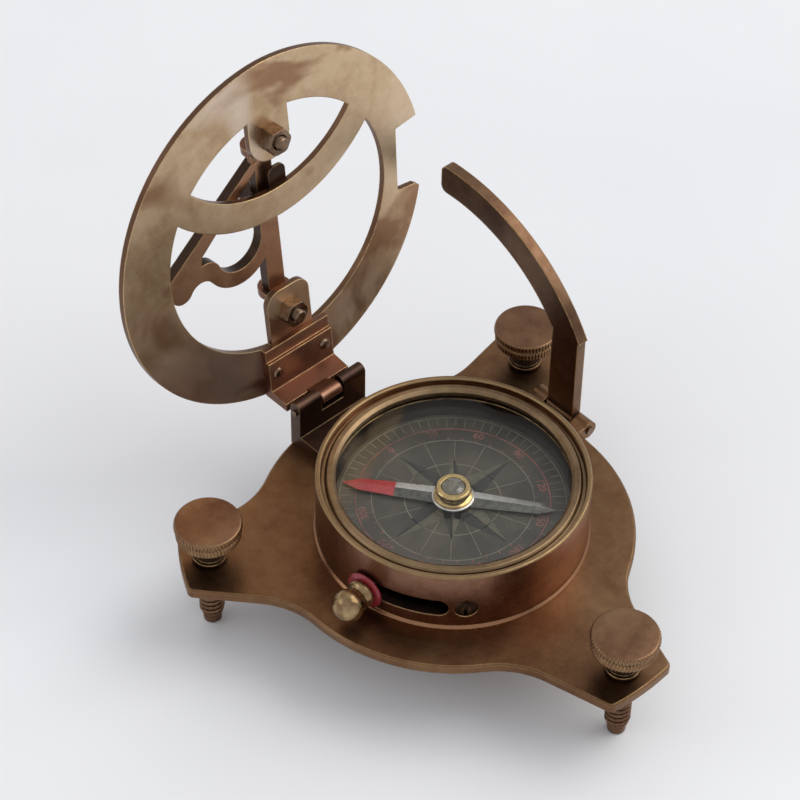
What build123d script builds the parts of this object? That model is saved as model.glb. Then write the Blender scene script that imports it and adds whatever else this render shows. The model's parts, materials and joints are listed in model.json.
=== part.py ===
"""Folding sundial compass on a three-armed levelling base.

Frame: millimetres, +Z up. The origin is on the compass axis, in the plane that
the three levelling screws stand on. +Y points at the hour ring's hinge and +X
at the latitude arc. The ring is stored standing open, with its gnomon folded flat.
"""
from build123d import *
import os
from math import cos, sin, radians, sqrt

# Base plate and levelling screws
plate_bottom = 16.2
plate_top = 18.2
plate_radius = 37.1
plate_hinge_radius = 39.9
arm_reach = 55.3
arm_end_half_width = 7.8
arm_taper = 0.31
arm_blend_radius = 17.0
arm_corner_radius = 1.6
arm_angles = {"right": 28.3, "left": 148.3, "front": 268.3}
screw_circle_radius = 49.3
stud_radius = 2.6
stud_top = 24.4
foot_radius = 1.9
foot_height = 1.7
foot_taper_top = 3.6
running_gap = 0.05
knob_radius = 6.85
knob_bottom = 24.7
knob_top = 28.7
knob_neck_radius = 3.6
knob_neck_bottom = 18.7

# Compass case and its contents
case_radius = 27.5
case_top = 33.2
case_floor_top = 20.4
case_bore_radius = 22.9
dial_room_radius = 23.7
dial_bottom = 25.0
dial_thickness = 0.6
glass_bottom = 30.2
glass_top = 31.4
glass_seat_radius = 26.4
bezel_inner_radius = 23.4
bezel_outer_radius = 25.6
bezel_top = 32.8
floor_screw_radius = 1.25
floor_screw_circle = 18.0
pivot_boss_radius = 3.0
pivot_boss_top = 22.4
pivot_post_radius = 1.0
pivot_post_top = 26.5
pivot_pin_radius = 0.45

# Needle
needle_bottom = 26.3
needle_thickness = 0.6
needle_azimuth = 127.5
needle_hub_radius = 4.3
north_reach = 22.5
south_reach = 20.6
red_tip_start = 11.8
cap_radius = 3.6
cap_top = 29.5

# Needle arrest: lever, ring and lifter
lever_azimuth = 189.5
lever_height = 23.7
lever_stem_radius = 0.9
slot_start = 186.0
slot_end = 225.0
slot_bottom = 22.0
slot_top = 26.3
side_screw_azimuth = 232.0
side_screw_height = 24.2
side_screw_radius = 2.3
ball_radius = 3.3
ball_centre = 33.4

# Hour ring hinge; the ring's own frame has u along X, v towards the ring's top and h out of its front face
hinge_y = 37.4
hinge_z = 28.0
hinge_offset = 10.0
ring_open_angle = 96.5
hinge_barrel_radius = 1.5
hinge_pin_radius = 0.7
knuckle_half_width = 2.6
block_half_width = 9.0
block_front = 36.0
block_back = 38.9
block_top = 30.4
block_foot_top = 21.6
block_recess_floor = 25.6
leaf_half_width = 8.5

# Hour ring
ring_radius = 39.5
ring_worn_side = 1.2
ring_inner_radius = 28.0
ring_thickness = 1.4
crossbar_centre = 36.0
crossbar_outer = 33.0
crossbar_inner = 26.5
notch_outline = [(31.9, 7.1), (46.0, 8.8), (46.0, -10.9), (37.6, -10.1), (36.0, -8.8), (31.6, -8.1), (31.2, -7.6)]
tab_half_width = 5.0
tongue_half_width = 5.5
tongue_top = -15.0
upper_bolt_v = 22.2
lower_bolt_v = -21.0

# Gnomon and its brackets
gnomon_axis_depth = 4.4
gnomon_thickness = 2.4
gnomon_rod_radius = 0.75
bar_half_width = 2.1
bracket_thickness = 1.0
bracket_half_width = 4.2
leg_radius = 3.4
bracket_leg = (17.0, 18.6)
bracket_end = 27.5
lug_radius = 4.9
lug_span = (4.2, 6.9)
ear_width = (-0.4, 3.9)
ear_top = 13.6
ear_thickness = 0.6
bolt_radius = 1.5
nut_radius = 3.0

# Latitude arc
arc_inner_face = 39.1
arc_thickness = 2.4
arc_centre_y = 41.98
arc_centre_z = 18.63
arc_inner_radius = 36.27
arc_outer_radius = 43.04
arc_post = (4.9, 12.1)
arc_kink_z = 39.6
arc_tip_y = 46.0
arc_pivot_x = 40.3
arc_pivot_z = 16.7
arc_barrel_radius = 2.0
arc_pin_radius = 0.9
arc_ears = ((0.9, 4.5), (12.5, 16.1))

parts = {}


def disc(radius, bottom, top, x=0.0, y=0.0):
    """Upright cylinder."""
    return Pos(x, y, bottom) * Cylinder(radius, top - bottom, align=(Align.CENTER, Align.CENTER, Align.MIN))


def tube(outer, inner, bottom, top):
    """Upright ring."""
    return disc(outer, bottom, top) - disc(inner, bottom - 1, top + 1)


def slab(x_span, y_span, z_span):
    """Box between three pairs of limits."""
    size = [b - a for a, b in (x_span, y_span, z_span)]
    middle = [(a + b) / 2 for a, b in (x_span, y_span, z_span)]
    return Pos(*middle) * Box(*size)


def rod(radius, start, end):
    """Cylinder between two points."""
    start, end = Vector(*start), Vector(*end)
    axis = end - start
    bar = Cylinder(radius, axis.length, align=(Align.CENTER, Align.CENTER, Align.MIN))
    return Plane(origin=start, z_dir=axis).location * bar


def turned(points):
    """Solid of revolution about Z from (radius, height) points."""
    return revolve(Plane.XZ * make_face(Polyline(*points, close=True)), axis=Axis.Z)


def at_azimuth(angle, radius=0.0, z=0.0):
    """Location on the compass axis turned so that its X axis points outwards at the angle."""
    return Rot(0, 0, angle) * Pos(radius, 0, z)


def profile(points, plane, length):
    """Prism of a closed outline, pushed both ways from the plane."""
    return extrude(plane * make_face(Polyline(*points, close=True)), length, both=True)


def countersunk(x, y, bottom, top):
    """Flat-headed screw that enters from below."""
    head = turned([(0, bottom), (2.4, bottom), (floor_screw_radius, bottom + 1.2), (0, bottom + 1.2)])
    return Pos(x, y, 0) * head + disc(floor_screw_radius, bottom, top, x, y)


# ---- Base plate -------------------------------------------------------------
def plate_outline():
    """Round plate, fuller towards the hinge, with three tapering arms whose sides flow into it."""
    outline = Circle(plate_radius)
    first = Vector(cos(radians(arm_angles["right"])), sin(radians(arm_angles["right"]))) * plate_hinge_radius
    last = Vector(cos(radians(arm_angles["left"])), sin(radians(arm_angles["left"]))) * plate_hinge_radius
    fuller = [Line((0, 0), first), ThreePointArc(first, (0, plate_hinge_radius), last), Line(last, (0, 0))]
    outline += make_face(fuller)
    root_half_width = arm_end_half_width + arm_taper * (arm_reach - 15)
    for angle in arm_angles.values():
        sides = [(15, -root_half_width), (arm_reach + 1, -arm_end_half_width + arm_taper)]
        sides += [(arm_reach + 1, arm_end_half_width - arm_taper), (15, root_half_width)]
        arm = make_face(Polyline(*sides, close=True)) & Circle(arm_reach)
        corners = arm.vertices().filter_by(lambda v: Vector(v.X, v.Y).length > arm_reach - 1)
        outline += Rot(0, 0, angle) * fillet(corners, arm_corner_radius)
    roots = outline.vertices().filter_by(lambda v: 30 < Vector(v.X, v.Y).length < 44)
    return fillet(roots, arm_blend_radius)


floor_screws = [(floor_screw_circle * cos(radians(a)), floor_screw_circle * sin(radians(a))) for a in (90, 210, 330)]
block_screws = [(-6.0, 32.5), (6.0, 32.5)]

plate = Pos(0, 0, plate_bottom) * extrude(plate_outline(), plate_top - plate_bottom)
rim_edges = [e for e in plate.edges() if abs(e.center().Z - plate_top) < 1e-6]
plate = chamfer(rim_edges, 0.35)
plate -= slab((arc_pivot_x - arc_barrel_radius - 0.4, 60), (arc_ears[0][1], arc_ears[1][0]), (10, 25))
for low, high in arc_ears:
    plate += rod(arc_barrel_radius, (arc_pivot_x, low, arc_pivot_z), (arc_pivot_x, high, arc_pivot_z))
    plate += slab((arc_pivot_x - 6, arc_pivot_x), (low, high), (plate_bottom, plate_top))
plate -= rod(arc_pin_radius, (arc_pivot_x, -1, arc_pivot_z), (arc_pivot_x, arc_ears[1][1] + 6, arc_pivot_z))
for angle in arm_angles.values():
    plate -= at_azimuth(angle, screw_circle_radius) * disc(stud_radius + running_gap, 10, 25)
for x, y in floor_screws + block_screws:
    plate -= countersunk(x, y, plate_bottom, plate_top + 1)
parts["base_plate"] = plate

screws = [countersunk(x, y, plate_bottom, case_floor_top - 0.3) for x, y in floor_screws]
parts["case_screws"] = Compound(children=screws)
screws = [countersunk(x, y, plate_bottom, block_foot_top - 0.6) for x, y in block_screws]
parts["block_screws"] = Compound(children=screws)

# ---- Compass case -----------------------------------------------------------
case = turned([
    (0, plate_top), (28.0, plate_top), (28.0, plate_top + 0.5), (case_radius, plate_top + 1.0),
    (case_radius, case_top - 0.25), (case_radius - 0.25, case_top), (glass_seat_radius + 0.25, case_top),
    (glass_seat_radius, case_top - 0.25), (glass_seat_radius, glass_bottom), (dial_room_radius, glass_bottom),
    (dial_room_radius, dial_bottom), (case_bore_radius, dial_bottom), (case_bore_radius, case_floor_top),
    (0, case_floor_top),
])
slot_middle = (slot_bottom + slot_top) / 2
slot_half = (slot_top - slot_bottom) / 2
slot_section = Plane.XZ * (Pos(25.3, slot_middle) * Rectangle(8, 2 * slot_half))
slot_end_angle = 4.5
slot_sweep = slot_end - slot_start - 2 * slot_end_angle
case -= Rot(0, 0, slot_start + slot_end_angle) * revolve(slot_section, axis=Axis.Z, revolution_arc=slot_sweep)
for angle in (slot_start + slot_end_angle, slot_end - slot_end_angle):
    case -= at_azimuth(angle) * rod(slot_half, (21.3, 0, slot_middle), (30, 0, slot_middle))
screw_seat = 25.3
case -= at_azimuth(side_screw_azimuth, 0, side_screw_height) * rod(side_screw_radius + 0.05, (screw_seat, 0, 0), (30, 0, 0))
case -= at_azimuth(side_screw_azimuth, 0, side_screw_height) * rod(1.0, (22, 0, 0), (screw_seat, 0, 0))
for x, y in floor_screws:
    case -= disc(floor_screw_radius, plate_top - 1, case_floor_top - 0.3, x, y)
parts["compass_case"] = case

side_screw = rod(side_screw_radius, (screw_seat, 0, 0), (27.1, 0, 0)) + rod(1.0, (23.8, 0, 0), (screw_seat, 0, 0))
side_screw -= slab((26.4, 28), (-0.35, 0.35), (-3, 3))
parts["side_screw"] = at_azimuth(side_screw_azimuth, 0, side_screw_height) * side_screw

parts["glass"] = disc(glass_seat_radius - 0.1, glass_bottom, glass_top)
bezel_flange_top = glass_top + 0.5
parts["bezel_ring"] = turned([
    (bezel_inner_radius, glass_top), (glass_seat_radius - 0.05, glass_top), (glass_seat_radius - 0.05, bezel_flange_top),
    (bezel_outer_radius, bezel_flange_top), (bezel_outer_radius, bezel_top - 0.5), (bezel_outer_radius - 0.5, bezel_top),
    (bezel_inner_radius + 0.7, bezel_top), (bezel_inner_radius, bezel_top - 0.5),
])
parts["dial_card"] = tube(dial_room_radius - 0.15, 2.4, dial_bottom, dial_bottom + dial_thickness)
parts["pivot_post"] = turned([
    (0, case_floor_top), (pivot_boss_radius, case_floor_top), (pivot_boss_radius, pivot_boss_top),
    (pivot_post_radius, pivot_boss_top), (pivot_post_radius, pivot_post_top), (pivot_pin_radius, pivot_post_top),
    (pivot_pin_radius, 28.2), (0, 28.65),
])


# ---- Needle -----------------------------------------------------------------
def needle_prism(points):
    """Flat blade piece with its length along X, turned to the needle's heading."""
    blade = extrude(make_face(Polyline(*points, close=True)), needle_thickness)
    return Rot(0, 0, needle_azimuth) * (Pos(0, 0, needle_bottom) * blade)


needle_top = needle_bottom + needle_thickness
needle = needle_prism([(red_tip_start, 1.95), (red_tip_start, -1.95), (0, -2.3), (0, 2.3)])
needle += needle_prism([(0, 2.3), (0, -2.3), (3 - south_reach, -1.5), (-south_reach, 0), (3 - south_reach, 1.5)])
needle += disc(needle_hub_radius, needle_bottom, needle_top)
parts["needle"] = needle - disc(1.6, 20, 30)
parts["needle_red_tip"] = needle_prism([
    (red_tip_start, 1.95), (red_tip_start, -1.95), (19, -1.45), (north_reach, 0), (19, 1.45),
])
parts["needle_cap"] = turned([
    (1.2, needle_top), (3.9, needle_top), (3.9, 27.3), (3.0, 27.7), (3.0, 28.2), (cap_radius, 28.4),
    (cap_radius, cap_top - 0.3), (cap_radius - 0.3, cap_top), (2.5, cap_top), (2.3, 29.1), (0, 29.1), (0, 28.75), (1.2, 28.75),
])
parts["cap_jewel"] = turned([(0, 29.1), (2.3, 29.1), (2.25, 29.4), (1.3, 29.68), (0, 29.78)])

# ---- Needle arrest ----------------------------------------------------------
ring_bottom, ring_top = 20.8, 22.2
arrest_ring = tube(20.0, pivot_boss_radius + running_gap, ring_bottom, ring_top)
arrest_arm = slab((14, 21.6), (-2.2, 2.2), (ring_top - 0.4, lever_height + 1.0))
arrest_arm -= rod(lever_stem_radius, (16, 0, lever_height), (30, 0, lever_height))
parts["arrest_ring"] = arrest_ring + Rot(0, 0, lever_azimuth) * arrest_arm
neck_start, neck_end = 28.8, 31.0
parts["lever_stem"] = at_azimuth(lever_azimuth, 0, lever_height) * rod(lever_stem_radius, (16, 0, 0), (neck_end, 0, 0))
washer = rod(4.0, (27.95, 0, 0), (neck_start - 0.05, 0, 0)) - rod(lever_stem_radius + 0.02, (27, 0, 0), (30, 0, 0))
parts["lever_washer"] = at_azimuth(lever_azimuth, 0, lever_height) * washer
ball = Pos(ball_centre, 0, 0) * Sphere(ball_radius)
neck = rod(2.7, (neck_start, 0, 0), (29.6, 0, 0)) + rod(2.0, (neck_start, 0, 0), (32, 0, 0))
knob = ball + neck - rod(lever_stem_radius, (neck_start - 1, 0, 0), (neck_end, 0, 0))
parts["lever_knob"] = at_azimuth(lever_azimuth, 0, lever_height) * knob
lifter_bore = pivot_post_radius + running_gap
parts["needle_lifter"] = tube(7.0, lifter_bore, 22.7, 23.4) + tube(2.0, lifter_bore, 23.3, 25.4)

# ---- Hinge block ------------------------------------------------------------
knuckle_room = knuckle_half_width + 0.4
block_thickness = block_back - block_front
block_middle = (block_front + block_back) / 2
crown = block_top - block_thickness / 2
block = slab((-block_half_width, block_half_width), (block_front, block_back), (plate_top, crown))
block += rod(block_thickness / 2, (-block_half_width, block_middle, crown), (block_half_width, block_middle, crown))
block += slab((-block_half_width, block_half_width), (24, block_front), (plate_top, block_foot_top))
block -= disc(28.05, 10, plate_top + 1.05) + disc(case_radius, 10, 40)
block -= slab((-knuckle_room, knuckle_room), (30, 45), (block_recess_floor, 40))
block -= rod(hinge_pin_radius, (-20, hinge_y, hinge_z), (20, hinge_y, hinge_z))
for x, y in block_screws:
    block -= disc(floor_screw_radius, plate_top - 1, block_foot_top - 0.6, x, y)
parts["hinge_block"] = block
pin_end = block_half_width + 0.5
parts["hinge_pin"] = rod(hinge_pin_radius, (-pin_end, hinge_y, hinge_z), (pin_end, hinge_y, hinge_z))

# ---- Hour ring, in its own frame --------------------------------------------
lean = radians(ring_open_angle)
ring_centre_y = hinge_y - hinge_y * cos(lean) + hinge_offset * sin(lean)
ring_centre_z = hinge_z + hinge_y * sin(lean) + hinge_offset * cos(lean)
ring_frame = Plane(origin=(0, ring_centre_y, ring_centre_z), x_dir=(1, 0, 0), z_dir=(0, -sin(lean), -cos(lean)))
hinge_v = -hinge_y
side_plane = Plane(origin=(0, 0, 0), x_dir=(0, 1, 0), z_dir=(1, 0, 0))


def on_ring(shape):
    """Carry a shape from the ring's own frame to the compass."""
    return ring_frame.location * shape


def lug(radius, span, back):
    """Rounded ear behind the ring that holds the gnomon's rod."""
    ear = rod(radius, (0, span[0], -gnomon_axis_depth), (0, span[1], -gnomon_axis_depth))
    ear += slab((-radius, radius), span, (-gnomon_axis_depth, back))
    return ear - slab((-9, 9), (span[0] - 1, span[1] + 1), (back, 9))


band = tube(ring_radius, ring_inner_radius, -ring_thickness, 0)
crossbar = Pos(0, crossbar_centre, 0) * tube(crossbar_outer, crossbar_inner, -ring_thickness, 0)
crossbar = crossbar & disc(ring_inner_radius + 0.5, -ring_thickness, 0)
tab = disc(tab_half_width, -ring_thickness, 0, 0, upper_bolt_v - 0.4)
tab += slab((-tab_half_width, tab_half_width), (upper_bolt_v - 0.4, 29), (-ring_thickness, 0))
tongue = slab((-tongue_half_width, tongue_half_width), (-29, tongue_top), (-ring_thickness, 0))
tongue = fillet(tongue.edges().filter_by(Axis.Z).sort_by(Axis.Y)[-2:], 3.2)
hour_ring = band + crossbar + tab + tongue
hour_ring &= disc(ring_radius, -ring_thickness, 0, -ring_worn_side)
hour_ring -= extrude(Pos(0, 0, -3) * make_face(Polyline(*notch_outline, close=True)), 5)
for v in (upper_bolt_v, lower_bolt_v):
    hour_ring -= disc(bolt_radius, -3, 1, 0, v)
rivet_spots = [(-6.3, -32.8), (6.3, -32.8)]
rivet_radius = 0.8
for u, v in rivet_spots:
    hour_ring -= disc(rivet_radius, -3, 1, u, v)
parts["hour_ring"] = on_ring(hour_ring)

ear = slab(ear_width, (lug_span[0], ear_top), (-ring_thickness - ear_thickness, -ring_thickness))
ear = fillet(ear.edges().filter_by(Axis.Z).sort_by(Axis.Y)[-2:], 1.6)
ear += lug(lug_radius, lug_span, -ring_thickness)
ear -= rod(gnomon_rod_radius, (0, 0, -gnomon_axis_depth), (0, 10, -gnomon_axis_depth))
parts["centre_bracket"] = on_ring(ear)

leaf_front = 2.2
leaf_reach = 6.5
leaf = profile([
    (-26.8, 0), (-26.8, 1.4), (-29.6, 1.4), (-29.6, leaf_front), (-36.7, leaf_front), (-37.7, leaf_reach),
    (-39.5, leaf_reach), (-38.9, 0),
], side_plane, leaf_half_width)
web = profile([
    (-37.8, 5.5), (-36.1, 9.3), (hinge_v, hinge_offset), (-38.7, 9.3), (-39.4, 5.5),
], side_plane, knuckle_half_width)
web += rod(hinge_barrel_radius, (-knuckle_half_width, hinge_v, hinge_offset), (knuckle_half_width, hinge_v, hinge_offset))
leaf = leaf + web - rod(hinge_pin_radius + running_gap, (-9, hinge_v, hinge_offset), (9, hinge_v, hinge_offset))
for u, v in rivet_spots:
    leaf -= disc(rivet_radius, -1, 5, u, v)
parts["ring_leaf"] = on_ring(leaf)
rivet = turned([
    (0, -ring_thickness - 0.5), (0.9, -ring_thickness - 0.5), (1.3, -ring_thickness), (rivet_radius, -ring_thickness),
    (rivet_radius, leaf_front), (1.3, leaf_front), (1.0, leaf_front + 0.5), (0, leaf_front + 0.7),
])
parts["leaf_rivets"] = Compound(children=[on_ring(Pos(u, v, 0) * rivet) for u, v in rivet_spots])


def gnomon_bracket(side, bolt_v):
    """Angle bracket behind the ring: a flat foot under the bolt and a rounded leg for the rod."""
    leg = sorted(side * v for v in bracket_leg)
    foot = sorted((side * bracket_leg[0], side * bracket_end))
    back = -ring_thickness
    bracket = lug(leg_radius, leg, back)
    bracket += slab((-bracket_half_width, bracket_half_width), foot, (back - bracket_thickness, back))
    bracket -= rod(gnomon_rod_radius, (0, leg[0] - 1, -gnomon_axis_depth), (0, leg[1] + 1, -gnomon_axis_depth))
    return bracket - bolt(bolt_v, 0)


def bolt(v, front):
    """Flush-headed bolt through bracket and ring, its end standing out of the front by a stated height."""
    back = -ring_thickness - bracket_thickness
    shape = turned([(0, back), (2.5, back), (bolt_radius, back + 0.9), (bolt_radius, front), (0, front)])
    return Pos(0, v, 0) * shape


def nut(v, height):
    """Hexagon nut on the ring's front face."""
    hexagon = extrude(RegularPolygon(nut_radius, 6), height)
    return Pos(0, v, 0) * (hexagon - disc(bolt_radius, -1, 9))


parts["upper_bracket"] = on_ring(gnomon_bracket(1, upper_bolt_v))
parts["lower_bracket"] = on_ring(gnomon_bracket(-1, lower_bolt_v))
parts["bracket_bolts"] = Compound(children=[on_ring(bolt(upper_bolt_v, 4.3)), on_ring(bolt(lower_bolt_v, 3.8))])
parts["bracket_nuts"] = Compound(children=[on_ring(nut(upper_bolt_v, 3.2)), on_ring(nut(lower_bolt_v, 2.6))])
rod_end = bracket_leg[1] + 0.6
parts["gnomon_rod"] = on_ring(rod(gnomon_rod_radius, (0, -rod_end, -gnomon_axis_depth), (0, rod_end, -gnomon_axis_depth)))

# ---- Gnomon -----------------------------------------------------------------
bar_end = bracket_leg[0] - 0.25
slit = (lug_span[0] - 0.3, lug_span[1] + 0.3)
w = bar_half_width
outline = [
    Line((w, slit[0]), (w, -bar_end)),
    Line((w, -bar_end), (-w, -bar_end)),
    Line((-w, -bar_end), (-w, -7.9)),
    ThreePointArc((-w, -7.9), (-8.6, -10.9), (-15.9, -6.6)),
    ThreePointArc((-15.9, -6.6), (-18.4, -5.2), (-21.2, -6.7)),
    ThreePointArc((-21.2, -6.7), (-23.6, -7.7), (-26.0, -5.4)),
    Line((-26.0, -5.4), (-27.4, -2.3)),
    Line((-27.4, -2.3), (-0.9, bar_end)),
    Line((-0.9, bar_end), (w, bar_end)),
    Line((w, bar_end), (w, slit[1])),
    Line((w, slit[1]), (-w, slit[1])),
    Line((-w, slit[1]), (-w, 13.4)),
    Line((-w, 13.4), (-17.6, 0.5)),
    Line((-17.6, 0.5), (-17.9, -1.5)),
    ThreePointArc((-17.9, -1.5), (-15.3, -1.8), (-13.4, -4.3)),
    ThreePointArc((-13.4, -4.3), (-8.3, -7.5), (-2.5, -1.7)),
    Line((-2.5, -1.7), (-w, slit[0])),
    Line((-w, slit[0]), (w, slit[0])),
]
gnomon = Pos(0, 0, -gnomon_axis_depth - gnomon_thickness / 2) * extrude(make_face(outline), gnomon_thickness)
gnomon -= rod(gnomon_rod_radius + running_gap, (0, -30, -gnomon_axis_depth), (0, 30, -gnomon_axis_depth))
parts["gnomon"] = on_ring(gnomon)

# ---- Latitude arc -----------------------------------------------------------
arc_plane = Plane(origin=(arc_inner_face, 0, 0), x_dir=(0, 1, 0), z_dir=(1, 0, 0))
crescent = Pos(arc_centre_y, arc_centre_z) * (Circle(arc_outer_radius) - Circle(arc_inner_radius))
keep_low = arc_centre_y - arc_outer_radius
crescent &= Pos((keep_low + arc_tip_y) / 2, arc_kink_z + 20) * Rectangle(arc_tip_y - keep_low, 40)
tip_corners = crescent.vertices().sort_by(Axis.X)[-2:]
crescent = fillet(tip_corners, 1.6)
post_width = arc_post[1] - arc_post[0]
post = Pos(sum(arc_post) / 2, (arc_kink_z + arc_pivot_z) / 2 + 0.2) * Rectangle(post_width, arc_kink_z - arc_pivot_z + 0.4)
latitude_arc = extrude(arc_plane * (crescent + post), arc_thickness)
latitude_arc += rod(arc_barrel_radius, (arc_pivot_x, arc_post[0], arc_pivot_z), (arc_pivot_x, arc_post[1], arc_pivot_z))
latitude_arc -= rod(arc_pin_radius + running_gap, (arc_pivot_x, 0, arc_pivot_z), (arc_pivot_x, 20, arc_pivot_z))
parts["latitude_arc"] = latitude_arc
parts["arc_pin"] = rod(arc_pin_radius, (arc_pivot_x, 0.4, arc_pivot_z), (arc_pivot_x, arc_ears[1][1], arc_pivot_z))

# ---- Levelling screws -------------------------------------------------------
stud = turned([
    (0, 0), (foot_radius - 0.25, 0), (foot_radius, 0.25), (foot_radius, foot_height), (stud_radius, foot_taper_top),
    (stud_radius, stud_top), (0, stud_top),
])
groove_bottom, groove_top = 26.5, 27.0
head = turned([
    (0, knob_neck_bottom), (knob_neck_radius - 0.3, knob_neck_bottom), (knob_neck_radius, knob_neck_bottom + 0.3),
    (knob_neck_radius, knob_bottom), (knob_radius, knob_bottom), (knob_radius, groove_bottom),
    (knob_radius - 0.5, groove_bottom), (knob_radius - 0.5, groove_top), (knob_radius, groove_top),
    (knob_radius, knob_top - 0.4), (knob_radius - 0.4, knob_top), (0, knob_top + 0.15),
])
head -= disc(stud_radius + running_gap, 0, stud_top + 0.2)
for name, angle in arm_angles.items():
    parts["leveling_stud_" + name] = at_azimuth(angle, screw_circle_radius) * stud
    parts["leveling_knob_" + name] = at_azimuth(angle, screw_circle_radius) * head

os.makedirs("parts", exist_ok=True)
for name, shape in parts.items():
    export_step(shape, f"parts/{name}.step")
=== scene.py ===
"""Looks of the sundial compass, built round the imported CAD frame. Metres, +Z up."""
import json
from math import asin, cos, hypot, pi, radians, sin

import bmesh
import bpy
from mathutils import Matrix, Vector


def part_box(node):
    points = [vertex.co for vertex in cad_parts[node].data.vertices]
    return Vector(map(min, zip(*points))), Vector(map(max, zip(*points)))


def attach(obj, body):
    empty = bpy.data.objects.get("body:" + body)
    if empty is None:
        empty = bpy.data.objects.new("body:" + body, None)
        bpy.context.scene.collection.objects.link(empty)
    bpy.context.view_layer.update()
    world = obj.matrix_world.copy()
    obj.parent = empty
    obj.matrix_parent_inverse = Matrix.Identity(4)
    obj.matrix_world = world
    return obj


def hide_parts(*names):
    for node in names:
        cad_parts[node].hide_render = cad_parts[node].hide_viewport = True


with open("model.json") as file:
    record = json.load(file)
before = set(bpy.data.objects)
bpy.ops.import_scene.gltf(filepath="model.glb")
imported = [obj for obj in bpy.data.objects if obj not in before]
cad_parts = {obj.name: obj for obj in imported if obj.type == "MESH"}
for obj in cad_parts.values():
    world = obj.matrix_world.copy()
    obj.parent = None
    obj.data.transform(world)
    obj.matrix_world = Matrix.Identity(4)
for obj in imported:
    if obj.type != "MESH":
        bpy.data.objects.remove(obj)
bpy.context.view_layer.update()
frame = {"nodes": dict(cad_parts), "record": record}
MM = 0.001


# ---- Materials --------------------------------------------------------------
class Graph:
    """A material's node tree, with short ways to add and join nodes."""

    def __init__(self, name):
        self.material = bpy.data.materials.new(name)
        self.material.use_nodes = True
        self.tree = self.material.node_tree
        self.shader = self.tree.nodes["Principled BSDF"]

    def node(self, kind, inputs=None, **settings):
        made = self.tree.nodes.new("ShaderNode" + kind)
        for key, value in settings.items():
            setattr(made, key, value)
        for key, value in (inputs or {}).items():
            self.feed(made.inputs[key], value)
        return made

    def feed(self, socket, value):
        if isinstance(value, bpy.types.NodeSocket):
            self.tree.links.new(value, socket)
        else:
            socket.default_value = value

    def set(self, **values):
        for key, value in values.items():
            self.feed(self.shader.inputs[key.replace("_", " ")], value)

    def coords(self, scale=(1, 1, 1), turn=(0, 0, 0)):
        where = self.node("TexCoord").outputs["Object"]
        return self.node("Mapping", {"Vector": where, "Scale": scale, "Rotation": turn}).outputs[0]

    def noise(self, scale, detail=4.0, rough=0.55, where=None, distortion=0.0):
        where = where or self.coords()
        look = {"Scale": scale, "Detail": detail, "Roughness": rough, "Distortion": distortion}
        return self.node("TexNoise", {"Vector": where, **look}).outputs[0]

    def ramp(self, value, *stops):
        made = self.node("ValToRGB", {"Fac": value})
        band = made.color_ramp
        while len(band.elements) < len(stops):
            band.elements.new(0.5)
        for element, (place, colour) in zip(band.elements, stops):
            element.position = place
            element.color = colour + (1,)
        return made.outputs[0]

    def span(self, value, low, high, out_low=0.0, out_high=1.0):
        inputs = {"Value": value, "From Min": low, "From Max": high, "To Min": out_low, "To Max": out_high}
        return self.node("MapRange", inputs).outputs[0]

    def mix(self, factor, first, second):
        """Colour between first and second; either may be a socket or a plain (r, g, b)."""
        made = self.node("Mix", data_type="RGBA")
        # A Mix node has one set of sockets for each data type; 6, 7 and 2 are the colour ones.
        for socket, value in ((made.inputs[0], factor), (made.inputs[6], first), (made.inputs[7], second)):
            self.feed(socket, value + (1,) if isinstance(value, tuple) else value)
        return made.outputs[2]

    def math(self, operation, first, second=0.0):
        made = self.node("Math", operation=operation)
        self.feed(made.inputs[0], first)
        self.feed(made.inputs[1], second)
        return made.outputs[0]

    def bump(self, height, distance, strength=1.0, normal=None):
        made = self.node("Bump", {"Height": height, "Distance": distance, "Strength": strength})
        if normal is not None:
            self.tree.links.new(normal, made.inputs["Normal"])
        return made.outputs[0]

    def facing(self, axis, low, high):
        """Mask that rises from 0 to 1 as a face turns towards an axis of the object."""
        made = self.node("VectorMath", operation="DOT_PRODUCT")
        self.feed(made.inputs[0], self.node("TexCoord").outputs["Normal"])
        self.feed(made.inputs[1], axis)
        return self.span(made.outputs["Value"], low, high)

    def height(self, low, high):
        """Mask that rises from 0 to 1 between two heights, in metres."""
        parts = self.node("SeparateXYZ", {"Vector": self.node("TexCoord").outputs["Object"]})
        return self.span(parts.outputs["Z"], low, high)

    def depth_inside(self, outer, inner):
        """Mask that rises from 0 to 1 as a point comes nearer to the compass axis, in metres."""
        flat = self.node("VectorMath", operation="MULTIPLY")
        self.feed(flat.inputs[0], self.node("TexCoord").outputs["Object"])
        self.feed(flat.inputs[1], (1, 1, 0))
        length = self.node("VectorMath", operation="LENGTH")
        self.feed(length.inputs[0], flat.outputs[0])
        return self.span(length.outputs["Value"], outer, inner)

    def edges(self, radius):
        """Rounded normal at sharp edges, and a mask that is 1 on them."""
        rounded = self.node("Bevel", {"Radius": radius}, samples=6).outputs[0]
        face = self.node("NewGeometry").outputs["Normal"]
        made = self.node("VectorMath", operation="DOT_PRODUCT")
        self.feed(made.inputs[0], rounded)
        self.feed(made.inputs[1], face)
        return rounded, self.span(made.outputs["Value"], 0.995, 0.88)


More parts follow.
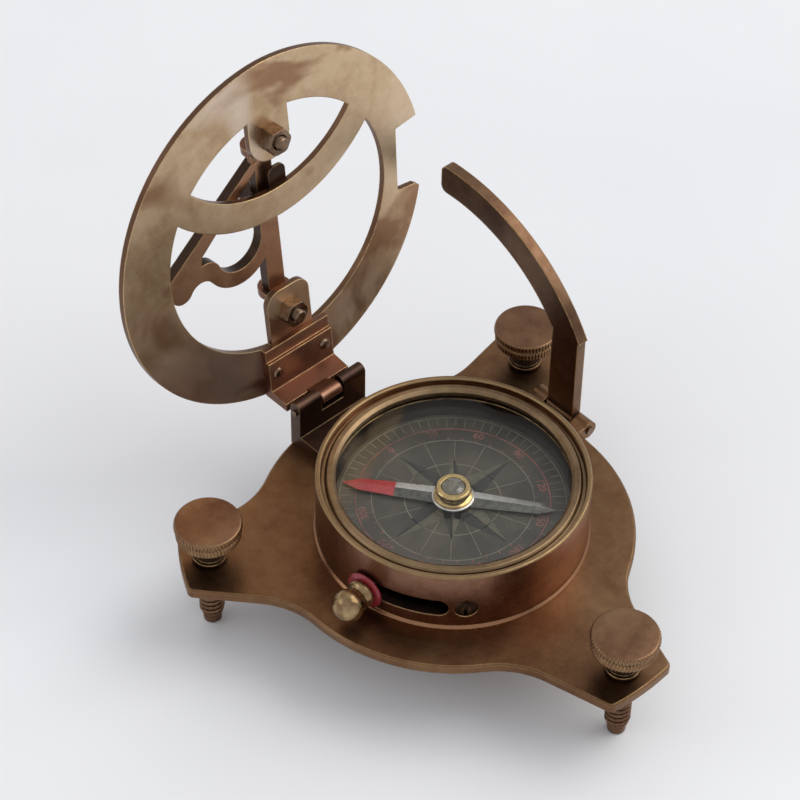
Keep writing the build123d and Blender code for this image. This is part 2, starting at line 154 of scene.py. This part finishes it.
def patinated(name, dark, mid, light, worn, rough=(0.26, 0.46), edge=0.00035, blotch=45, marks=0.5, shade=()):
    """Antique brass: blotchy brown patina, fine scratches and golden worn edges.

    shade lists (mask, colour) makers that recolour some faces, with blotches and with painted shade and
    painted reflections, laid under the worn edges.
    """
    g = Graph(name)
    large = g.noise(blotch, 3, 0.6, distortion=0.6)
    small = g.noise(blotch * 9, 5, 0.65)
    cloud = g.math("ADD", g.math("MULTIPLY", large, 0.68), g.math("MULTIPLY", small, 0.32))
    colour = g.ramp(cloud, (0.36, dark), (0.5, mid), (0.64, light))
    lines = g.noise(1.0, 3, 0.6, g.coords((2600, 2600, 2600)))
    colour = g.mix(g.span(lines, 0.35, 0.75, 0.0, 0.22), colour, light)
    for mask_of, stain in shade:
        colour = g.mix(mask_of(g), colour, stain)
    normal, mask = g.edges(edge)
    broken = g.math("MULTIPLY", mask, g.span(g.noise(500, 4, 0.7), 0.28, 0.6))
    colour = g.mix(broken, colour, worn)
    spots = g.span(g.noise(260, 6, 0.75), 0.62, 0.75)
    colour = g.mix(g.math("MULTIPLY", spots, marks), colour, dark)
    haze = g.math("ADD", g.math("MULTIPLY", large, 0.5), g.math("MULTIPLY", lines, 0.5))
    g.set(Metallic=1.0, Base_Color=colour, Roughness=g.span(haze, 0.3, 0.7, *rough))
    g.set(Normal=g.bump(lines, 0.000012, 0.6, g.bump(small, 0.00003, 0.35, normal)))
    return g.material


def plain_metal(name, colour, worn, rough, scale=900, edge=0.0002):
    """Cleaner turned or polished metal with a little uneven tone and its worn colour on the edges."""
    g = Graph(name)
    cloud = g.noise(scale, 5, 0.6)
    tint = g.mix(g.span(cloud, 0.35, 0.7), colour, worn)
    normal, mask = g.edges(edge)
    tint = g.mix(mask, tint, worn)
    g.set(Metallic=1.0, Base_Color=tint, Roughness=g.span(cloud, 0.3, 0.7, rough * 0.75, rough * 1.3))
    g.set(Normal=g.bump(cloud, 0.00001, 0.5, normal))
    return g.material


def painted(name, first, second, rough, scale, coat=0.0, grain=0.00002, detail=5):
    """Paint, enamel or fibre with a slightly uneven tone."""
    g = Graph(name)
    cloud = g.noise(scale, detail, 0.6)
    g.set(Base_Color=g.ramp(cloud, (0.35, first), (0.68, second)), Coat_Weight=coat)
    g.set(Roughness=g.span(cloud, 0.3, 0.7, rough, rough + 0.15))
    if grain:
        g.set(Normal=g.bump(cloud, grain, 0.4))
    return g.material


def flat_glass(name, veil, rough, smear):
    """Clear flat glass: a faint mirror that its alpha makes mostly see-through, with smears of dust."""
    g = Graph(name)
    cloud = g.noise(40, 2, 0.5, distortion=1.0)
    g.set(Base_Color=(0.86, 0.83, 0.77, 1), Metallic=1.0, Alpha=g.span(cloud, 0.3, 0.8, veil, veil * 1.6))
    g.set(Roughness=g.span(cloud, 0.45, 0.8, rough, rough + smear))
    return g.material


def ring_dark_blotches(g):
    """Reddish brown blotches, darker than the rest of the ring's face."""
    return g.math("MULTIPLY", g.span(g.noise(30, 3, 0.55, distortion=1.4), 0.55, 0.63), 0.72)


def ring_painted_reflections(g):
    """Paler patches painted on the ring's face as painted reflections of the bright floor."""
    where = g.coords(turn=(0.4, 0.9, 0.2))
    return g.math("MULTIPLY", g.span(g.noise(26, 2, 0.5, where, 0.8), 0.54, 0.64), 0.65)


def side_faces_shaded(g):
    """Faces that look neither to the front nor to the back of the standing ring, which get painted shade."""
    both = g.math("MULTIPLY", g.facing((0, -1, 0), 0.75, 0.3), g.facing((0, 1, 0), 0.75, 0.3))
    return g.math("MULTIPLY", both, 0.96)


def knob_neck_shaded(g):
    """The part of a levelling knob under its knurled head, which gets painted shade."""
    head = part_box("leveling_knob_front")[1][2] - 3.9 * MM
    return g.height(head, head - 0.3 * MM)


def case_rim(g):
    """The case's polished top edge."""
    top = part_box("compass_case")[1][2]
    return g.math("MULTIPLY", g.height(top - 0.55 * MM, top - 0.35 * MM), 0.9)


def case_bore_shaded(g):
    """The case's inside below the seat of the glass, painted near-black as painted shade."""
    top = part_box("compass_case")[1][2]
    below = g.height(top - 2.6 * MM, top - 2.8 * MM)
    return g.math("MULTIPLY", below, g.depth_inside(27.35 * MM, 27.15 * MM))


def case_bead(g):
    """The bead round the case's foot."""
    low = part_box("compass_case")[0][2]
    return g.math("MULTIPLY", g.height(low + 1.3 * MM, low + 0.9 * MM), 0.8)


GOLD = (0.55, 0.36, 0.16)
DULL_GOLD = (0.38, 0.26, 0.13)
RIM_GOLD = (0.26, 0.175, 0.09)
# Near-black painted shade, for a recess and for side faces turned from the light.
PAINTED_SHADE_BLACK = (0.025, 0.015, 0.011)
M = {
    "plate_bronze": patinated(
        "plate_bronze", (0.125, 0.058, 0.028), (0.185, 0.096, 0.047), (0.24, 0.138, 0.07), DULL_GOLD,
    ),
    "case_bronze": patinated(
        "case_bronze", (0.15, 0.068, 0.043), (0.25, 0.125, 0.078), (0.33, 0.18, 0.115), GOLD,
        # The case's bore is painted near-black as painted shade.
        rough=(0.22, 0.4), shade=((case_rim, RIM_GOLD), (case_bead, (0.34, 0.17, 0.09)), (case_bore_shaded, PAINTED_SHADE_BLACK)),
    ),
    "bezel_brass": patinated(
        "bezel_brass", (0.13, 0.08, 0.045), (0.22, 0.145, 0.08), (0.30, 0.205, 0.115), DULL_GOLD,
        rough=(0.24, 0.4),
    ),
    "ring_brass": patinated(
        "ring_brass", (0.43, 0.285, 0.165), (0.58, 0.42, 0.265), (0.68, 0.52, 0.35), (0.72, 0.48, 0.22),
        shade=(
            # The pale patches are painted reflections of the bright floor.
            (ring_painted_reflections, (0.78, 0.66, 0.54)), (ring_dark_blotches, (0.24, 0.11, 0.05)),
            # Painted shade on the ring's side faces.
            (side_faces_shaded, (0.12, 0.06, 0.035)),
        ),
    ),
    "leaf_copper": patinated(
        "leaf_copper", (0.22, 0.115, 0.07), (0.35, 0.20, 0.13), (0.45, 0.275, 0.18), GOLD,
        # Painted shade on the leaf's side faces.
        shade=((side_faces_shaded, (0.16, 0.07, 0.045)),),
    ),
    "block_bronze": patinated(
        "block_bronze", (0.03, 0.018, 0.014), (0.055, 0.032, 0.024), (0.10, 0.055, 0.036), RIM_GOLD,
    ),
    "gnomon_brass": patinated(
        "gnomon_brass", (0.33, 0.175, 0.105), (0.47, 0.265, 0.16), (0.57, 0.35, 0.21), GOLD,
        # Painted shade on the gnomon's side faces.
        shade=((side_faces_shaded, PAINTED_SHADE_BLACK),),
    ),
    "arc_bronze": patinated(
        "arc_bronze", (0.085, 0.042, 0.026), (0.16, 0.088, 0.05), (0.24, 0.14, 0.08), GOLD, edge=0.0005,
    ),
    "stud_brass": plain_metal("stud_brass", (0.12, 0.06, 0.035), (0.24, 0.13, 0.075), 0.3, 300),
    "knob_bronze": patinated(
        "knob_bronze", (0.12, 0.055, 0.032), (0.19, 0.10, 0.056), (0.26, 0.15, 0.082), GOLD, marks=0.7,
        # The knob's neck is painted dark as painted shade under the head.
        shade=((knob_neck_shaded, (0.07, 0.038, 0.025)),),
    ),
    "ball_brass": plain_metal("ball_brass", (0.20, 0.125, 0.06), (0.42, 0.30, 0.16), 0.26, 380),
    "screw_steel": plain_metal("screw_steel", (0.05, 0.034, 0.026), (0.17, 0.115, 0.08), 0.35, 500),
    "bolt_brass": plain_metal("bolt_brass", (0.11, 0.065, 0.042), (0.30, 0.21, 0.14), 0.28, 420),
    "needle_steel": plain_metal("needle_steel", (0.66, 0.66, 0.62), (0.84, 0.84, 0.80), 0.34),
    "cap_brass": plain_metal("cap_brass", (0.46, 0.31, 0.12), (0.66, 0.49, 0.22), 0.2),
    "inner_brass": plain_metal("inner_brass", (0.16, 0.11, 0.06), (0.32, 0.23, 0.12), 0.4),
    "needle_red": painted("needle_red", (0.32, 0.012, 0.014), (0.50, 0.03, 0.03), 0.3, 1500, 0.4),
    "washer_red": painted("washer_red", (0.16, 0.008, 0.015), (0.36, 0.02, 0.035), 0.3, 2500, 0.5),
    "dial_enamel": painted("dial_enamel", (0.022, 0.019, 0.012), (0.068, 0.058, 0.038), 0.45, 110, 0.1, 0, 3),
    "crystal": flat_glass("crystal", 0.022, 0.03, 0.05),
    "jewel_glass": painted("jewel_glass", (0.07, 0.062, 0.04), (0.16, 0.145, 0.10), 0.06, 900, 1.0),
}
# Materials for printed, engraved and shaded parts, which no CAD node uses.
PALE_INK = painted("pale_ink", (0.12, 0.11, 0.07), (0.22, 0.205, 0.14), 0.5, 300)
ROSE_INK = painted("rose_ink", (0.055, 0.052, 0.032), (0.12, 0.112, 0.07), 0.5, 300)
RED_INK = painted("red_ink", (0.12, 0.035, 0.028), (0.36, 0.11, 0.09), 0.5, 220)
DARK_INK = painted("dark_ink", (0.010, 0.011, 0.008), (0.022, 0.022, 0.016), 0.5, 700)
# Painted shade for the roots of threads and ridges.
PAINTED_SHADE_METAL = plain_metal("painted_shade_metal", (0.02, 0.011, 0.007), (0.05, 0.028, 0.018), 0.5)
# Painted dark reflection for one slope of the needle.
NEEDLE_SHADE = plain_metal("needle_shade", (0.07, 0.07, 0.06), (0.16, 0.16, 0.14), 0.36)
ENGRAVED = painted("engraved", (0.02, 0.012, 0.008), (0.05, 0.03, 0.02), 0.6, 900)

slots = {part["node"]: part["material_slot"] for part in frame["record"]["subparts"]}
for node, cad_piece in frame["nodes"].items():
    cad_piece.data.materials.clear()
    cad_piece.data.materials.append(M[slots[node]])


# ---- Mesh helpers (sizes in millimetres, turned into metres by the piece's own matrix) ----
def place(origin, x_dir, y_dir, z_dir):
    """Matrix from a local frame in millimetres to the shared frame in metres."""
    axes = Matrix([Vector(axis) * MM for axis in (x_dir, y_dir, z_dir)]).transposed().to_4x4()
    return Matrix.Translation(origin) @ axes


def add_piece(name, mesh_data, matrix, material, body, replaced=(), crease=32):
    """Make a piece from (vertices, faces) and attach it to a body; edges past crease degrees stay sharp."""
    mesh = bpy.data.meshes.new(name)
    vertices, faces = mesh_data
    mesh.from_pydata([matrix @ Vector(v) for v in vertices], [], faces)
    editable = bmesh.new()
    editable.from_mesh(mesh)
    bmesh.ops.recalc_face_normals(editable, faces=editable.faces)
    editable.to_mesh(mesh)
    editable.free()
    mesh.polygons.foreach_set("use_smooth", [True] * len(mesh.polygons))
    mesh.set_sharp_from_angle(angle=radians(crease))
    mesh.materials.append(material)
    piece = bpy.data.objects.new(name, mesh)
    bpy.context.scene.collection.objects.link(piece)
    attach(piece, body)
    if replaced:
        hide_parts(*replaced)
    return piece


def second_material(piece, material, chosen):
    """Give the faces that pass a test a second material."""
    piece.data.materials.append(material)
    for polygon in piece.data.polygons:
        if chosen(polygon):
            polygon.material_index = 1


def lathe(rows, segments=96, radius_at=None, closed=False):
    """Turned form from (radius, height) rows, with a third value where radius_at reads one.

    A radius of 0 closes the form with a point, and closed joins the last row to the first.
    """
    vertices, faces, rings = [], [], []
    for radius, height, *extra in rows:
        first = len(vertices)
        if radius == 0:
            vertices.append((0, 0, height))
            rings.append([first] * segments)
            continue
        for k in range(segments):
            turn = 2 * pi * k / segments
            r = radius_at(radius, height, turn, *extra) if radius_at else radius
            vertices.append((r * cos(turn), r * sin(turn), height))
        rings.append(list(range(first, first + segments)))
    pairs = list(zip(rings, rings[1:])) + ([(rings[-1], rings[0])] if closed else [])
    for below, above in pairs:
        for k in range(segments):
            j = (k + 1) % segments
            corners = dict.fromkeys((below[k], below[j], above[j], above[k]))
            faces.append(tuple(corners))
    return vertices, faces


def joined(*meshes):
    """Several (vertices, faces) as one."""
    vertices, faces = [], []
    for some_vertices, some_faces in meshes:
        shift = len(vertices)
        vertices += some_vertices
        faces += [tuple(i + shift for i in face) for face in some_faces]
    return vertices, faces


def moved(mesh_data, x=0.0, y=0.0, z=0.0):
    vertices, faces = mesh_data
    return [(a + x, b + y, c + z) for a, b, c in vertices], faces


def stroke(start, end, width, low, high):
    """Flat bar between two points of a plane, with a little thickness."""
    along = Vector((end[0] - start[0], end[1] - start[1])).normalized() * (width / 2)
    side = Vector((-along.y, along.x))
    corners = [
        (start[0] + side.x, start[1] + side.y), (start[0] - side.x, start[1] - side.y),
        (end[0] - side.x, end[1] - side.y), (end[0] + side.x, end[1] + side.y),
    ]
    vertices = [(x, y, z) for z in (low, high) for x, y in corners]
    faces = [(0, 1, 2, 3), (4, 5, 6, 7)] + [(k, (k + 1) % 4, (k + 1) % 4 + 4, k + 4) for k in range(4)]
    return vertices, faces


def polar(radius, degrees):
    return radius * cos(radians(degrees)), radius * sin(radians(degrees))


def threaded(start, end, radius_of, pitch=1.25, depth=0.42, segments=48, steps=12):
    """Screw thread between two heights, fading out at its lower end."""
    def radius_at(radius, height, turn):
        phase = (height / pitch - turn / (2 * pi)) % 1.0
        groove = abs(2 * phase - 1) ** 1.3
        fade = min(1.0, max(0.0, (height - start) / pitch))
        return radius - depth * groove * fade

    count = max(2, int((end - start) / pitch * steps))
    heights = [start + (end - start) * k / count for k in range(count + 1)]
    rows = [(0, start)] + [(radius_of(h), h) for h in heights] + [(0, end)]
    return lathe(rows, segments, radius_at)


# ---- Levelling screws -------------------------------------------------------
KNURLS = 58
KNURL_DEPTH = 0.3
FOOT_RADIUS, FOOT_HEIGHT = 1.9, 1.7
STUD_RADIUS = 2.6
TAPER_SLOPE = 0.37
HEAD_OVER_NECK = 6.0


def knurled(radius, height, turn, depth=0):
    """Straight knurling, as deep as the row says."""
    return radius - depth * KNURL_DEPTH * (0.5 + 0.5 * cos(KNURLS * turn))


def knob_rows(radius, bottom, top):
    """Profile of a levelling knob: a ridged neck, then two knurled rims with a groove between them."""
    under = bottom + HEAD_OVER_NECK
    lower, middle = radius - 0.35, under + 1.9
    rows = [(0, bottom), (3.0, bottom), (3.5, bottom + 0.2), (3.5, bottom + 0.7)]
    level = bottom + 0.9
    while level < under - 0.6:
        rows += [(2.75, level), (3.1, level + 0.35)]
        level += 0.7
    rows += [
        (3.9, under - 0.1), (lower - 0.4, under), (lower, under + 0.3, 0.5), (lower + 0.1, under + 0.5, 1),
        (lower + 0.1, middle - 0.3, 1), (lower - 0.1, middle - 0.1, 0.4), (lower - 0.45, middle),
        (lower - 0.45, middle + 0.45), (radius - 0.25, middle + 0.55, 0.4), (radius, middle + 0.75, 1),
        (radius, top - 0.5, 1), (radius - 0.1, top - 0.22, 0.4), (radius - 0.3, top - 0.04),
        (radius - 0.6, top), (radius * 0.5, top + 0.05), (0, top + 0.07),
    ]
    return rows


def stud_radius(height):
    """Plain tip, a short taper, then the full thread."""
    if height < FOOT_HEIGHT:
        return FOOT_RADIUS
    return min(STUD_RADIUS, FOOT_RADIUS + (height - FOOT_HEIGHT) * TAPER_SLOPE)


def paint_shade(piece, centre, is_deep):
    """Painted shade: dark metal on the faces where is_deep(distance from an upright axis, height) is true, in
    millimetres.
    """
    def chosen(polygon):
        reach = (polygon.center - centre).to_2d().length / MM
        return is_deep(reach, polygon.center.z / MM)

    second_material(piece, PAINTED_SHADE_METAL, chosen)


def in_thread_root(reach, level):
    return level > 1.6 and reach < stud_radius(level) - 0.24


tip = lathe([(0, 0), (1.6, 0), (1.85, 0.25), (FOOT_RADIUS, 0.6), (FOOT_RADIUS, 1.4), (0, 1.4)], 40)
for side in ("right", "left", "front"):
    stud_node, knob_node = "leveling_stud_" + side, "leveling_knob_" + side
    low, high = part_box(stud_node)
    centre = Vector(((low[0] + high[0]) / 2, (low[1] + high[1]) / 2, 0))
    upright = place(centre, (1, 0, 0), (0, 1, 0), (0, 0, 1))
    screw = joined(tip, threaded(1.3, high[2] / MM, stud_radius))
    stud = add_piece(
        "threaded_stud_" + side, screw, upright, M["stud_brass"],
        "stud_" + side, (stud_node,), crease=75,
    )
    # Painted shade in the thread roots.
    paint_shade(stud, centre, in_thread_root)

    low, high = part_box(knob_node)
    bottom = low[2] / MM
    rows = knob_rows((high[0] - low[0]) / 2 / MM, bottom, high[2] / MM - 0.15)
    knob_mesh = lathe(rows, KNURLS * 6, knurled)
    knob = add_piece(
        "knurled_knob_" + side, knob_mesh, upright, M["knob_bronze"],
        "knob_" + side, (knob_node,), crease=40,
    )
    neck_end = bottom + HEAD_OVER_NECK - 0.1
    # Painted shade in the roots of the neck's ridges.
    paint_shade(knob, centre, lambda reach, level: level < neck_end and reach < 2.98)

# ---- Arrest lever's ball and washer, turned round the lever from the compass axis outwards ----
low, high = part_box("lever_stem")
stem_middle = Vector(((low[0] + high[0]) / 2, (low[1] + high[1]) / 2, (low[2] + high[2]) / 2))
outward = Vector((stem_middle.x, stem_middle.y, 0)).normalized()
sideways = Vector((0, 0, 1)).cross(outward)
lever_frame = place((0, 0, stem_middle.z), Vector((0, 0, 1)), -sideways, outward)
ball_radius, ball_centre, neck_start = 3.3, 33.4, 28.8
ball = [(0, neck_start), (2.4, neck_start), (2.85, neck_start + 0.25), (3.0, neck_start + 0.75)]
ball += [(2.85, neck_start + 1.25), (2.45, neck_start + 1.6), (2.25, neck_start + 1.8)]
waist = asin(2.3 / ball_radius)
for k in range(25):
    angle = waist + (pi - 0.1 - waist) * k / 24
    ball.append((ball_radius * sin(angle), ball_centre - ball_radius * cos(angle)))
ball.append((0, ball_centre + ball_radius))
add_piece(
    "lever_ball", lathe(ball, 80), lever_frame, M["ball_brass"],
    "arrest_unit", ("lever_knob",), crease=35,
)
washer = [
    (1.0, 27.96), (3.7, 27.96), (3.95, 28.12), (4.0, 28.35), (3.95, 28.6), (3.7, 28.74), (1.0, 28.74),
]
add_piece(
    "fibre_washer", lathe(washer, 80, closed=True), lever_frame, M["washer_red"],
    "arrest_unit", ("lever_washer",), crease=50,
)

# ---- Needle -----------------------------------------------------------------
joints = {joint["name"]: joint for joint in frame["record"]["behaviour"]["joints"]}
needle_low, needle_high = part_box("needle")
tip_low, tip_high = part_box("needle_red_tip")
tip_point = Vector((tip_low[0], tip_high[1]))
heading = tip_point.normalized()
north_reach = tip_point.length / MM
needle_frame = place((0, 0, needle_low[2]), (heading.x, heading.y, 0), (-heading.y, heading.x, 0), (0, 0, 1))


def roof_blade(stations):
    """Blade with a ridge along its middle, from (x, half width, ridge height) stations."""
    base, brim = 0.0, 0.08
    vertices, faces = [], []
    for x, half, ridge in stations:
        vertices += [(x, -half, base), (x, -half, brim), (x, 0, ridge), (x, half, brim), (x, half, base)]
    for k in range(len(stations) - 1):
        for j in range(5):
            a, b = 5 * k + j, 5 * k + (j + 1) % 5
            faces.append((a, b, b + 5, a + 5))
    faces += [tuple(range(5)), tuple(range(5 * len(stations) - 5, 5 * len(stations)))]
    return vertices, faces


blade_top = (needle_high[2] - needle_low[2]) / MM
south_reach = hypot(needle_high[0], needle_low[1]) / MM
red_start = 11.8
silver = roof_blade([
    (-south_reach, 0.05, 0.12), (3 - south_reach, 1.5, blade_top - 0.05), (-1.5, 2.25, blade_top - 0.02),
    (1.5, 2.25, blade_top - 0.02), (red_start, 1.9, blade_top - 0.05),
])
hub = lathe([
    (1.6, 0.02), (4.15, 0.02), (4.3, 0.15), (4.3, 0.45), (4.1, 0.6), (3.6, 0.5), (1.6, 0.5),
], 72, closed=True)
blade = add_piece(
    "needle_blade", joined(silver, hub), needle_frame, M["needle_steel"],
    "needle_unit", ("needle",), crease=15,
)
blade_side = Vector((-heading.y, heading.x, 0))


def shaded_facet(polygon):
    """The slope on one side of the ridge, painted darker than the other as a painted dark reflection."""
    past_hub = polygon.center.to_2d().length > 4.4 * MM
    return past_hub and polygon.normal.z > 0.5 and polygon.normal.dot(blade_side) > 0.1


second_material(blade, NEEDLE_SHADE, shaded_facet)
red = roof_blade([
    (red_start, 1.95, blade_top), (north_reach - 3.5, 1.5, blade_top), (north_reach, 0.05, 0.15),
])
add_piece(
    "needle_point", red, needle_frame, M["needle_red"],
    "needle_unit", ("needle_red_tip",), crease=15,
)

# ---- Dial print -------------------------------------------------------------
dial_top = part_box("dial_card")[1][2]
dial_frame = place((0, 0, dial_top), (1, 0, 0), (0, 1, 0), (0, 0, 1))
INK_LOW, INK = 0.01, 0.03


def circle_line(radius, width):
    outer = radius + width
    return lathe([(radius, INK_LOW), (outer, INK_LOW), (outer, INK), (radius, INK)], 120, closed=True)


def petal(angle, length, side):
    """One half of a compass rose's point, whose root stays outside the needle lifter."""
    flat = [polar(2.75, angle), polar(length * 0.3, angle + side * 45), polar(length, angle)]
    vertices = [(x, y, z) for z in (INK_LOW, INK) for x, y in flat]
    return vertices, [(0, 1, 2), (3, 4, 5)] + [(k, (k + 1) % 3, (k + 1) % 3 + 3, k + 3) for k in range(3)]


def rose_halves(side):
    """One half of each of the rose's four long and four short points."""
    return [petal(90 * k, 15.6, side) for k in range(4)] + [petal(90 * k + 45, 11.0, side) for k in range(4)]


pale = [circle_line(radius, 0.18) for radius in (5.2, 9.6, 16.2, 22.6)]
for k in range(72):
    inner = 20.6 if k % 2 else 19.8
    pale.append(stroke(polar(inner, 5 * k), polar(22.4, 5 * k), 0.16, INK_LOW, INK))
for k in range(16):
    pale.append(stroke(polar(5.4, 22.5 * k), polar(16.0, 22.5 * k), 0.12, INK_LOW, INK))
add_piece("dial_lines", joined(*pale), dial_frame, PALE_INK, "base")
add_piece("dial_rose", joined(*rose_halves(1)), dial_frame, ROSE_INK, "base")
add_piece("dial_shadows", joined(*rose_halves(-1)), dial_frame, DARK_INK, "base")


def lettering(name, marks, size, raise_by, matrix, material, body):
    """Words laid on a plane; marks lists (text, x, y, turn in degrees)."""
    words = []
    for text, x, y, turn in marks:
        curve = bpy.data.curves.new(name, "FONT")
        curve.body = text
        curve.size = size
        curve.align_x, curve.align_y = "CENTER", "CENTER"
        curve.extrude = raise_by / 2
        curve.resolution_u = 3
        holder = bpy.data.objects.new(name, curve)
        bpy.context.scene.collection.objects.link(holder)
        shape = bpy.data.meshes.new_from_object(holder)
        spin = Matrix.Translation((x, y, raise_by / 2)) @ Matrix.Rotation(radians(turn), 4, "Z")
        corners = [tuple(spin @ vertex.co) for vertex in shape.vertices]
        words.append((corners, [tuple(polygon.vertices) for polygon in shape.polygons]))
        bpy.data.objects.remove(holder)
        bpy.data.curves.remove(curve)
        bpy.data.meshes.remove(shape)
    add_piece(name, joined(*words), matrix, material, body)


degrees = [(str(30 * k), *polar(18.2, 90 - 30 * k), -30 * k) for k in range(12)]
lettering("dial_degrees", degrees, 2.3, INK, dial_frame, RED_INK, "base")
red_marks = [circle_line(19.4, 0.22)]
for k in range(36):
    red_marks.append(stroke(polar(16.4, 10 * k), polar(17.0, 10 * k), 0.2, INK_LOW, INK))
add_piece("dial_scale", joined(*red_marks), dial_frame, RED_INK, "base")

# ---- Nuts and bolts on the hour ring ----------------------------------------
gnomon_joint = joints["gnomon_fold"]
ring_v = -Vector(gnomon_joint["axis"]).normalized()
ring_u = Vector((1, 0, 0))
ring_h = ring_u.cross(ring_v)
GNOMON_AXIS_DEPTH = 4.4
RING_THICKNESS = 1.4
ring_origin = Vector(gnomon_joint["pos_m"]) + ring_h * GNOMON_AXIS_DEPTH * MM


def hexagon_nut(height, across=3.0, bore=1.45):
    """Hexagon nut with its corners turned down above and below."""
    def radius_at(radius, level, turn, cornered=False):
        sector = (turn + pi / 6) % (pi / 3) - pi / 6
        flat = across * cos(pi / 6) / cos(pi / 6 - abs(sector))
        return min(flat, radius) if cornered else radius

    limit = across * 0.93
    rows = [
        (bore, 0), (limit, 0, True), (across, 0.22, True), (across, height - 0.3, True),
        (limit, height, True), (bore + 0.3, height), (bore, height - 0.25),
    ]
    return lathe(rows, 72, radius_at, closed=True)


nuts, bolts = [], []
for v, nut_height, bolt_end in ((22.2, 3.2, 4.3), (-21.0, 2.6, 3.8)):
    nuts.append(moved(hexagon_nut(nut_height), 0, v, 0))
    shank = threaded(-0.4, bolt_end - 0.3, lambda height: 1.45, 0.5, 0.16, 40, 6)
    crown = lathe([(0, bolt_end - 0.35), (1.4, bolt_end - 0.35), (1.1, bolt_end), (0, bolt_end)], 40)
    head = lathe([(0, -2.4), (2.4, -2.4), (2.5, -2.3), (1.4, -1.3), (0, -1.3)], 40)
    bolts.append(moved(joined(head, shank, crown), 0, v, 0))
ring_frame = place(ring_origin, ring_u, ring_v, ring_h)
add_piece(
    "chamfered_nuts", joined(*nuts), ring_frame, M["bolt_brass"],
    "ring_unit", ("bracket_nuts",), crease=25,
)
add_piece(
    "threaded_bolts", joined(*bolts), ring_frame, M["bolt_brass"],
    "ring_unit", ("bracket_bolts",), crease=40,
)

# ---- Hour marks on the ring's back, which faces up when it is folded down ----
back_frame = place(ring_origin - ring_h * RING_THICKNESS * MM, -ring_u, ring_v, -ring_h)
HOURS = ("XII", "I", "II", "III", "IIII", "V", "VII", "VIII", "IX", "X", "XI")
hour_angles = (90, 75, 60, 45, 30, 15, 165, 150, 135, 120, 105)
hours = [(hour, *polar(35.6, angle), angle - 90) for hour, angle in zip(HOURS, hour_angles)]
lettering("hour_numerals", hours, 4.2, 0.05, back_frame, ENGRAVED, "ring_unit")
hour_lines = []
for k in range(2, 23):
    angle = 7.5 * k
    outer = 30.6 if k % 2 else 32.6
    hour_lines.append(stroke(polar(28.6, angle), polar(outer, angle), 0.2, 0, 0.04))
add_piece("hour_lines", joined(*hour_lines), back_frame, ENGRAVED, "ring_unit")

# ---- Degree marks on the latitude arc's outer face ---------------------------
arc_low, arc_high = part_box("latitude_arc")
half_height = (arc_low[2] + arc_high[2]) / 2
arc_corners = [vertex.co for vertex in frame["nodes"]["latitude_arc"].data.vertices]
arc_face = max(corner.x for corner in arc_corners if corner.z > half_height)
arc_frame = place((arc_face, 0, 0), (0, 1, 0), (0, 0, 1), (1, 0, 0))
# The arc's own circle, as the CAD draws it in the plane of its face.
arc_centre = Vector((41.98, 18.63))
arc_outer = 43.04
MARK_INSET = 0.5
ticks = []
for k in range(19):
    angle = 94 + 3.6 * k
    length = 1.5 if k % 5 else 2.4
    edge = Vector(polar(arc_outer - MARK_INSET, angle)) + arc_centre
    inward = Vector(polar(arc_outer - MARK_INSET - length, angle)) + arc_centre
    if edge.x < arc_high[1] / MM - 1.5 and inward.y > 40:
        ticks.append(stroke(edge, inward, 0.18, 0, 0.04))
add_piece("arc_degrees", joined(*ticks), arc_frame, ENGRAVED, "arc_unit")

# ---- Stage ------------------------------------------------------------------
floor_mesh = bpy.data.meshes.new("floor")
half = 3.0
corners = [(-half, -half, 0), (half, -half, 0), (half, half, 0), (-half, half, 0)]
floor_mesh.from_pydata(corners, [], [(0, 1, 2, 3)])
floor_sheet = bpy.data.objects.new("floor", floor_mesh)
bpy.context.scene.collection.objects.link(floor_sheet)
pale_floor = Graph("floor_pale")
cloud = pale_floor.noise(6, 3, 0.5)
tone = pale_floor.ramp(cloud, (0.35, (0.82, 0.825, 0.835)), (0.7, (0.88, 0.885, 0.89)))
pale_floor.set(Base_Color=tone, Roughness=0.45)
floor_mesh.materials.append(pale_floor.material)

world = bpy.data.worlds.new("studio")
bpy.context.scene.world = world
world.use_nodes = True
sky = world.node_tree.nodes["Background"].inputs
sky["Color"].default_value = (0.95, 0.96, 1.0, 1)
sky["Strength"].default_value = 0.70


def softbox(name, where, size, power, colour):
    """Rectangular light aimed at the middle of the compass."""
    light = bpy.data.lights.new(name, "AREA")
    light.shape = "RECTANGLE"
    light.size, light.size_y = size
    light.energy = power
    light.color = colour
    lamp = bpy.data.objects.new(name, light)
    bpy.context.scene.collection.objects.link(lamp)
    lamp.location = where
    lamp.rotation_euler = (Vector((0, 0, 0.03)) - Vector(where)).to_track_quat("-Z", "Y").to_euler()


softbox("window", (1.6, -0.75, 2.1), (2.2, 2.2), 36, (1.0, 0.985, 0.96))
softbox("fill", (-1.9, 1.5, 1.6), (1.6, 1.2), 6, (0.95, 0.97, 1.0))

# ---- Camera, fitted to the photo --------------------------------------------
back = Vector((-0.4817, -0.5098, 0.7128)).normalized()
level = Vector((0, 0, 1)).cross(back).normalized()
roll = radians(0.99)
right = cos(roll) * level + sin(roll) * back.cross(level)
up = back.cross(right)
camera = bpy.data.objects.new("camera", bpy.data.cameras.new("camera"))
bpy.context.scene.collection.objects.link(camera)
camera.data.lens = 129.0
camera.data.sensor_width = 36.0
camera.data.clip_start = 0.01
turned = Matrix((right, up, back)).transposed().to_4x4()
camera.matrix_world = Matrix.Translation((-0.2742, -0.2743, 0.4476)) @ turned
bpy.context.scene.camera = camera
bpy.context.scene.view_settings.view_transform = "Standard"
